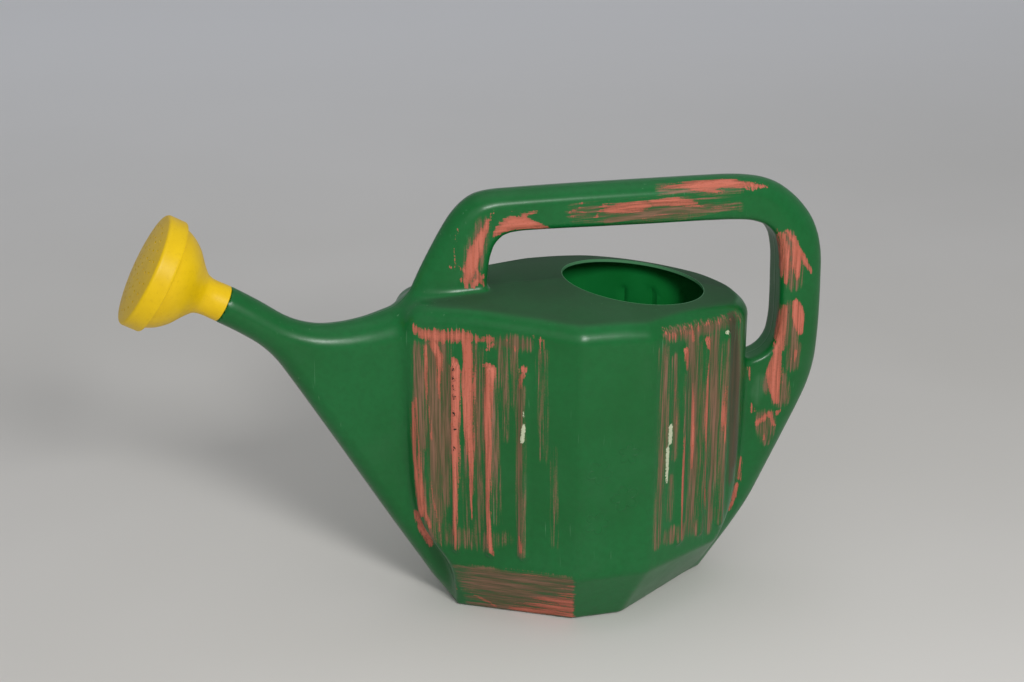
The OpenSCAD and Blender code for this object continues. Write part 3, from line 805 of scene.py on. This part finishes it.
def green_material():
    mat = bpy.data.materials.new("green_plastic")
    n = Nodes(mat)
    m = n.m
    pos = n.new("ShaderNodeSeparateXYZ")
    n.put(pos, 0, n.co)
    px, py, pz = pos.outputs
    geo = n.new("ShaderNodeNewGeometry")
    sep = n.new("ShaderNodeSeparateXYZ")
    n.put(sep, 0, geo.outputs["Normal"])
    up = n.band(sep.outputs[2], 0.8, 0.97)
    inside = n.attr("inside")
    out = m("SUBTRACT", 1.0, inside)

    # slow drift of the moulded green, then a fine mottle
    g = n.mix(n.band(n.noise(9, 3), 0.35, 0.65), srgb(6, 90, 36), srgb(12, 99, 45))
    g = n.mix(m("MULTIPLY", n.band(n.noise(240, 4, 0.6), 0.3, 0.75), 0.35), g, srgb(6, 78, 30))
    # inside, light comes through the thin skin
    g = n.mix(inside, g, n.mix(n.band(n.noise(30, 3), 0.3, 0.7), srgb(14, 108, 44), srgb(18, 118, 52)))
    # painted reflection and dust on the deck: a greyer, mottled tone stands in for the ceiling mirrored in the top,
    # with its own tone on the far half, which tilts away and mirrors the wall
    deck = m("MULTIPLY", m("MULTIPLY", up, n.band(pz, 0.196, 0.204)), m("SUBTRACT", 1.0, n.band(pz, 0.2325, 0.236)))
    deck = m("MULTIPLY", m("MULTIPLY", deck, out), n.band(px, -0.05, -0.035))
    dust_and_reflection = m("MULTIPLY", deck, m("ADD", 0.42, m("MULTIPLY", n.noise(26, 5, 0.65), 0.5)), clamp=True)
    g = n.mix(dust_and_reflection, g, n.mix(n.band(py, -0.003, 0.003), srgb(44, 70, 48), srgb(42, 60, 45)))
    # the faint haze and scuffs all over
    haze = m("MULTIPLY", n.band(n.noise(14, 6, 0.7, shift=(3, 1, 2)), 0.46, 0.78), 0.28)
    g = n.mix(m("MULTIPLY", haze, out), g, srgb(48, 100, 62))
    sc = n.band(n.noise(520, 2, 0.5, (1, 1, 0.05), dist=0.3), 0.68, 0.76)
    sc = m("MULTIPLY", sc, n.band(n.noise(18, 2, shift=(7, 7, 7)), 0.48, 0.6))
    g = n.mix(m("MULTIPLY", m("MULTIPLY", sc, 0.5), out), g, srgb(104, 150, 112))
    # the cut edge of the fill opening, painted lighter: a painted highlight where the cut face catches the light, and
    # paler raw-cut plastic
    cx = m("SUBTRACT", px, 0.1014)
    rad = m("SQRT", m("ADD", m("MULTIPLY", cx, cx), m("MULTIPLY", py, py)))
    lip = m("MULTIPLY", n.band(rad, 0.0477, 0.0479), m("SUBTRACT", 1.0, n.band(rad, 0.0481, 0.0486)))
    lip = m("MULTIPLY", m("MULTIPLY", lip, n.band(pz, 0.2, 0.206)), m("SUBTRACT", 1.0, n.band(pz, 0.236, 0.238)))
    g = n.mix(m("MULTIPLY", lip, 0.7), g, srgb(96, 150, 110))

    # brush streaks: upright on the walls, level along the handle's top and the foot band
    def streak(s, shift):
        a = n.noise(s, 3.0, 0.62, (1, 1, 0.035), shift, 0.25)
        b = n.noise(s, 3.0, 0.62, (0.05, 0.05, 1), shift, 0.4)
        return n.band(n.mixf(n.attr("level"), a, b), 0.33, 0.67)
    s1 = streak(820, (1.3, 4.1, 0.7))
    s2 = streak(330, (8.3, 2.1, 5.7))
    s3 = n.band(n.noise(900, 3, 0.6), 0.33, 0.67)
    st = m("ADD", m("MULTIPLY", s1, 0.5), m("ADD", m("MULTIPLY", s2, 0.32), m("MULTIPLY", s3, 0.18)))
    st = m("SUBTRACT", st, 0.5)
    # dried film between the strokes
    film = n.band(m("ADD", n.attr("film"), m("MULTIPLY", st, 1.0)), 0.04, 0.7)
    film = m("MULTIPLY", film, n.band(n.attr("film"), 0.02, 0.22))
    # pale streaks: painted highlight, a lighter green where faces catch the light
    pale = m("MULTIPLY", n.band(n.attr("pale"), 0.1, 0.8), m("ADD", 0.2, m("MULTIPLY", s2, 0.45)), clamp=True)
    g = n.mix(pale, g, srgb(80, 116, 84))
    fcol = n.mix(s2, n.mix(s1, srgb(62, 66, 34), srgb(112, 84, 60)), n.mix(s1, srgb(96, 74, 54), srgb(148, 100, 84)))
    g = n.mix(m("MULTIPLY", film, 0.84), g, fcol)
    # dark band: brown film with painted shade by the right panel's rear corner
    dark = n.band(m("ADD", n.attr("dark"), m("MULTIPLY", st, 0.7)), 0.15, 0.7)
    dark = m("MULTIPLY", dark, n.band(n.attr("dark"), 0.02, 0.2))
    g = n.mix(m("MULTIPLY", dark, 0.88), g, n.mix(s2, srgb(48, 50, 30), srgb(70, 62, 42)))
    # the paint itself
    pm = m("ADD", n.attr("paint"), m("MULTIPLY", st, 0.8))
    paint = n.band(pm, 0.44, 0.54)
    thick = n.band(pm, 0.52, 1.12)
    sal = n.mix(thick, n.mix(s1, srgb(128, 76, 54), srgb(170, 96, 76)), n.mix(s2, srgb(182, 96, 74), srgb(198, 110, 90)))
    sal = n.mix(n.band(n.noise(620, 3, 0.6, shift=(2, 2, 2)), 0.58, 0.72), sal, srgb(170, 84, 56))
    g = n.mix(paint, g, sal)
    # bare specks painted near-black: painted shade on the uncovered plastic
    spk = n.band(m("ADD", n.attr("speck"), m("MULTIPLY", m("SUBTRACT", s3, 0.5), 0.6)), 0.42, 0.5)
    g = n.mix(spk, g, srgb(18, 26, 12))
    chip = n.band(m("ADD", n.attr("chip"), m("MULTIPLY", m("SUBTRACT", s3, 0.5), 0.28)), 0.4, 0.5)
    g = n.mix(chip, g, n.mix(n.noise(700), srgb(200, 204, 176), srgb(168, 176, 142)))
    # roughness: satin plastic, chalky paint, dusty deck
    r = m("ADD", 0.24, m("MULTIPLY", n.noise(60, 4, 0.6), 0.16))
    r = n.mixf(m("MULTIPLY", deck, 1.0), r, 0.82)
    r = n.mixf(film, r, 0.55)
    r = n.mixf(paint, r, 0.62)
    r = n.mixf(chip, r, 0.75)
    # relief: faint moulding grain, the seam along the middle, petals on the flat panel, and the paint's thickness
    sm = m("MULTIPLY", py, 1600.0)
    seam = m("MULTIPLY", m("EXPONENT", m("MULTIPLY", m("MULTIPLY", sm, sm), -1.0)), 0.9)
    h = m("ADD", m("MULTIPLY", n.noise(70, 4, 0.5), 0.9), m("MULTIPLY", n.noise(900, 3), 0.16))
    h = m("ADD", h, seam)
    flowers = None
    for fx, fz, fr, turn in ((0.056, 0.121, 0.0085, 0.3), (0.076, 0.132, 0.0070, 1.1), (0.074, 0.100, 0.0095, 0.7), (0.055, 0.084, 0.0080, 0.1)):
        dx, dz = m("SUBTRACT", px, fx), m("SUBTRACT", pz, fz)
        rr = m("SQRT", m("ADD", m("MULTIPLY", dx, dx), m("MULTIPLY", dz, dz)))
        th = m("ADD", m("ARCTAN2", dz, dx), turn)
        edge = m("MULTIPLY", m("ADD", m("ABSOLUTE", m("COSINE", m("MULTIPLY", th, 2.5))), 1.1), fr * 0.48)
        q = m("MULTIPLY", m("SUBTRACT", rr, edge), 1 / 0.0007)
        e = m("EXPONENT", m("MULTIPLY", m("MULTIPLY", q, q), -1.0))
        flowers = e if flowers is None else m("MAXIMUM", flowers, e)
    flat = m("MULTIPLY", n.band(m("ABSOLUTE", py), 0.0765, 0.077), n.band(pz, 0.05, 0.06))
    h = m("ADD", h, m("MULTIPLY", m("MULTIPLY", flowers, flat), 1.7))
    h = m("ADD", h, m("MULTIPLY", paint, m("ADD", 0.28, m("MULTIPLY", s1, 0.55))))
    h = m("ADD", h, m("MULTIPLY", film, m("MULTIPLY", s1, 0.22)))
    h = m("ADD", h, m("MULTIPLY", chip, 0.6))
    n.finish(g, r, h, dist=0.00025, strength=0.55, Specular_IOR_Level=0.34)
    return mat


def yellow_material():
    mat = bpy.data.materials.new("yellow_plastic")
    n = Nodes(mat)
    m = n.m
    y = n.mix(n.band(n.noise(30, 4, 0.6), 0.35, 0.65), srgb(220, 180, 0), srgb(228, 189, 2))
    y = n.mix(m("MULTIPLY", n.band(n.noise(420, 4, 0.65), 0.52, 0.8), 0.4), y, srgb(198, 150, 0))
    y = n.mix(m("MULTIPLY", n.band(n.noise(90, 5, 0.7, shift=(5, 2, 1)), 0.58, 0.75), 0.35), y, srgb(188, 144, 2))
    r = m("ADD", 0.34, m("MULTIPLY", n.noise(140, 4, 0.6), 0.18))
    h = m("ADD", m("MULTIPLY", n.noise(120, 4), 0.7), m("MULTIPLY", n.noise(1100, 3), 0.2))
    n.finish(y, r, h, dist=0.0002, strength=0.5, Specular_IOR_Level=0.32)
    return mat


def floor_material():
    mat = bpy.data.materials.new("floor")
    n = Nodes(mat)
    c = n.mix(n.band(n.noise(1.3, 3), 0.3, 0.7), srgb(206, 203, 197), srgb(213, 210, 205))
    # paler towards the back, where the lights fall off
    pos = n.new("ShaderNodeSeparateXYZ")
    n.put(pos, 0, n.co)
    c = n.mix(n.band(pos.outputs[1], 0.2, 2.4), c, srgb(246, 246, 247))
    n.finish(c, 0.85)
    return mat


# --------------------------------------------------------------------------
# the object
# --------------------------------------------------------------------------
can = build_can()
if signed_volume(can.data) < 0:
    can.data.flip_normals()
smooth(can.data, 38)
paint_can(can)
note("painted")
green = green_material()
yellow = yellow_material()
can.data.materials.clear()
can.data.materials.append(green)

neck = 10.35
shell_out = spline([(0.1, 12.1), (4.5, 12.0), (9, 11.9), (13, 12.2), (16.5, 13.4), (19, 15.6), (21.6, 18.4), (24.4, 21.8), (27.6, 25.6),
                    (31, 28.6), (34.4, 31), (38, 32.8), (41, 33.8), (42.2, 34.2)], 3)
shell_in = spline([(43.4, 33.4), (40.6, 31.9), (36.8, 30.3), (33.2, 28.1), (30, 25.1), (27, 21.3), (24.2, 17.5), (21.8, 14.3), (20.4, 11.6)], 3)
prof = [(0.1, neck + 0.4), (0.1, 11.7), (0.5, 12.1)] + [tuple(a) for a in shell_out[1:]] + \
       [(42.2, 35.1), (42.6, 35.45), (52.1, 35.45), (52.5, 35.1), (52.5, 33.6), (44.2, 33.6)] + [tuple(a) for a in shell_in] + \
       [(20.4, neck), (0.5, neck)]
shell = lathe("rose_bell", prof, 144)
smooth(shell.data, 32)
shell.data.materials.append(yellow)

IN = 35.55
CR = 37.4
arc = [(CR - 2.2 + 2.2 * math.cos(a), 53.2 + 2.2 * math.sin(a)) for a in np.linspace(0, math.pi / 2, 7)]
dome = [(55.6 + 3.0 * (1 - (r / 35.3) ** 2), r) for r in np.linspace(35.3, 0, 13)[1:]]
under = [(s - 1.8, r) for s, r in dome[::-1]]
prof = [(42.6, IN), (42.6, CR - 0.7), (42.75, CR - 0.25), (43.2, CR)] + [(44.5, CR), (52, CR)] + [(s, r) for r, s in arc] + dome
prof2 = under[:-1] + [(54.0, 34.4), (53.6, IN)]
prof = prof + prof2
cap = lathe("rose_face", prof, 144)
me = bpy.data.meshes.new("holes")
bm = bmesh.new()
for k in range(5):
    for i in range(max(1, 6 * k)):
        th = math.radians(360 * i / max(1, 6 * k) + 7 * k)
        tmp = []
        for s in (49.6, 63.6):
            c0 = np.array(axis_point(s, 7.2 * k, th))
            ring = []
            for j in range(14):
                a = 2 * math.pi * j / 14
                e = c0 + 0.9 * (math.cos(a) * np.array([E_UP[0], 0, E_UP[1]]) + math.sin(a) * np.array([0, 1, 0]))
                ring.append(bm.verts.new(tuple(e * 0.001)))
            tmp.append(ring)
        a, b = tmp
        bm.faces.new(a)
        bm.faces.new(b[::-1])
        for j in range(14):
            bm.faces.new((a[j], b[j], b[(j + 1) % 14], a[(j + 1) % 14]))
bmesh.ops.recalc_face_normals(bm, faces=bm.faces)
bm.to_mesh(me)
bm.free()
cut(cap, link("holes", me))
smooth(cap.data, 32)
cap.data.materials.clear()
cap.data.materials.append(yellow)
note("rose", len(cap.data.polygons))

for o, node, body, slot in ((can, "can", "can", "green_plastic"), (shell, "rose_shell", "rose_shell", "yellow_plastic"), (cap, "rose_cap", "rose_cap", "yellow_plastic")):
    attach(o, body)
    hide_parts(node)

# --------------------------------------------------------------------------
# floor, light, camera
# --------------------------------------------------------------------------
bm = bmesh.new()
# a floor that sweeps up into a backdrop far behind
prof = [(-6, 0), (3.0, 0)] + [(3.0 + 1.5 * math.sin(a), 1.5 - 1.5 * math.cos(a)) for a in np.linspace(0.1, math.pi / 2, 14)] + [(4.5, 6)]
cols = [[bm.verts.new((x, y, z)) for x in (-8, 8)] for y, z in prof]
for a, b in zip(cols[:-1], cols[1:]):
    bm.faces.new((a[0], a[1], b[1], b[0]))
me = bpy.data.meshes.new("floor")
bm.to_mesh(me)
bm.free()
me.shade_smooth()
floor = link("floor", me)
floor.data.materials.append(floor_material())


def area(name, loc, aim, size, power, color=(1, 1, 1)):
    l = bpy.data.lights.new(name, "AREA")
    l.shape = "RECTANGLE"
    l.size, l.size_y = size
    l.energy = power
    l.color = color
    o = bpy.data.objects.new(name, l)
    from mathutils import Vector
    o.location = loc
    o.rotation_euler = (Vector(aim) - Vector(loc)).to_track_quat("-Z", "Y").to_euler()
    bpy.context.scene.collection.objects.link(o)
    return o


area("key", (0.12, -1.2, 0.95), (0.0, 0, 0.14), (0.3, 0.3), 12.5)
area("fill", (-0.9, -1.9, 1.2), (0, 0, 0.12), (1.4, 1.4), 3.5)
area("top", (0.1, 0.1, 2.0), (0, 0, 0.1), (1.6, 1.6), 3.0)
world = bpy.data.worlds.new("studio")
world.use_nodes = True
world.node_tree.nodes["Background"].inputs[0].default_value = (0.86, 0.88, 0.92, 1)
world.node_tree.nodes["Background"].inputs[1].default_value = 0.46
bpy.context.scene.world = world
bpy.context.scene.view_settings.view_transform = "Standard"

from mathutils import Matrix
cam_data = bpy.data.cameras.new("camera")
cam_data.sensor_width = 36.0
cam_data.sensor_fit = "HORIZONTAL"
cam_data.lens = 1699.9 * 36.0 / 1024
cam_data.clip_start = 0.05
cam_data.clip_end = 50
cam = bpy.data.objects.new("camera", cam_data)
bpy.context.scene.collection.objects.link(cam)
R = np.array([0.96846, -0.24915, 0.0])
U = np.array([0.09051, 0.35181, 0.93168])
F = np.array([0.23213, 0.90230, -0.36327])
cam.matrix_world = Matrix(((R[0], U[0], -F[0], -0.24827), (R[1], U[1], -F[1], -1.03145), (R[2], U[2], -F[2], 0.60243), (0, 0, 0, 1)))
bpy.context.scene.camera = cam

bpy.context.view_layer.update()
note("done")
